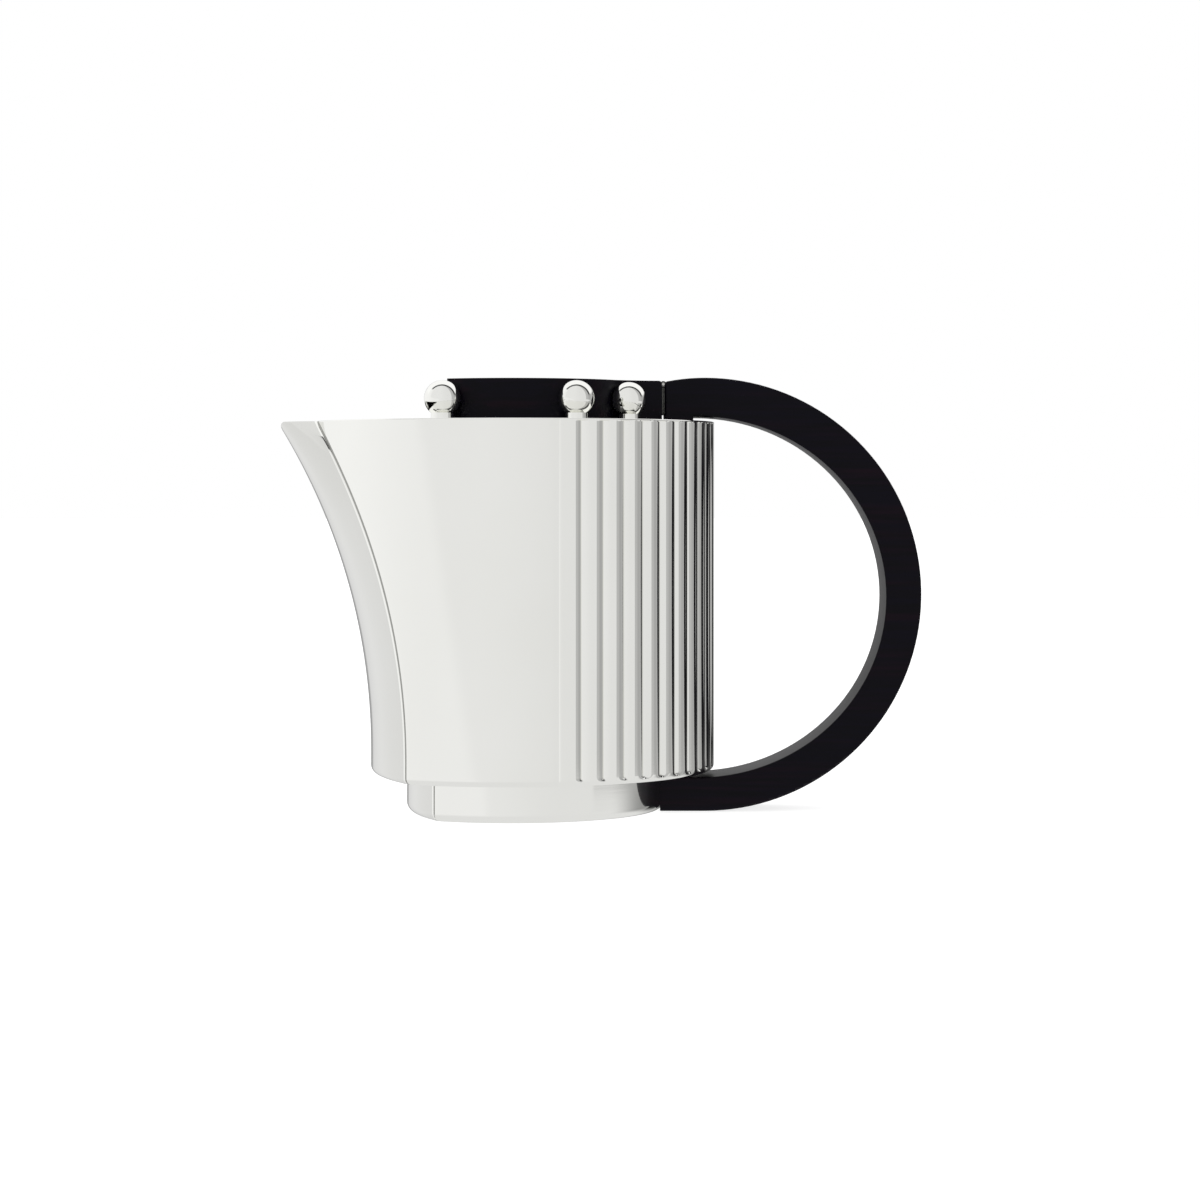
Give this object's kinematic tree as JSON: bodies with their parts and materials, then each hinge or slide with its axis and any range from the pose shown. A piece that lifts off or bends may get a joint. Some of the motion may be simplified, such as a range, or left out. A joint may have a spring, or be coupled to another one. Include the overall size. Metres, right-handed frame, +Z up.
{
  "type": "cream jug",
  "caption": "Small lidded silver jug with a flared spout, a reeded back, a stepped foot, an ebony D-shaped handle and an ebony grip set with silver balls.",
  "frame": {"origin": "on the table, on the axis of the round body", "axes": "+Z up, +X from the spout towards the handle, +Y across the jug"},
  "size_m": [0.1333, 0.084, 0.09],
  "materials": {
    "silver": "polished sterling silver",
    "silver_fittings": "turned silver, unpolished",
    "ebony": "waxed ebony, close straight grain"
  },
  "bodies": {
    "jug": {"body_wall": "silver", "spout_front": "silver", "body_base": "silver", "foot_ring": "silver", "lid_seat": "silver", "rear_deck": "silver", "deck_plate": "silver_fittings", "deck_screws": "silver_fittings", "foot_plate": "silver_fittings", "foot_screws": "silver_fittings", "handle": "ebony", "hinge_leaf_handle": "silver", "hinge_screws_handle": "silver_fittings", "hinge_pin": "silver_fittings"},
    "lid": {"lid_plate": "silver", "lid_flange": "silver", "grip": "ebony", "grip_screws": "silver_fittings", "ball_nuts": "silver_fittings", "hinge_leaf_lid": "silver", "hinge_screws_lid": "silver_fittings", "ball_front_near": "silver", "ball_front_far": "silver", "ball_middle_near": "silver", "ball_middle_far": "silver", "ball_rear_near": "silver", "ball_rear_far": "silver"}
  },
  "joints": [
    {"name": "lid_hinge", "type": "hinge", "parent": "jug", "child": "lid", "pos_m": [0.0312, 0, 0.0887], "axis": [0, 1, 0], "range_deg": [0, 90]}
  ]
}
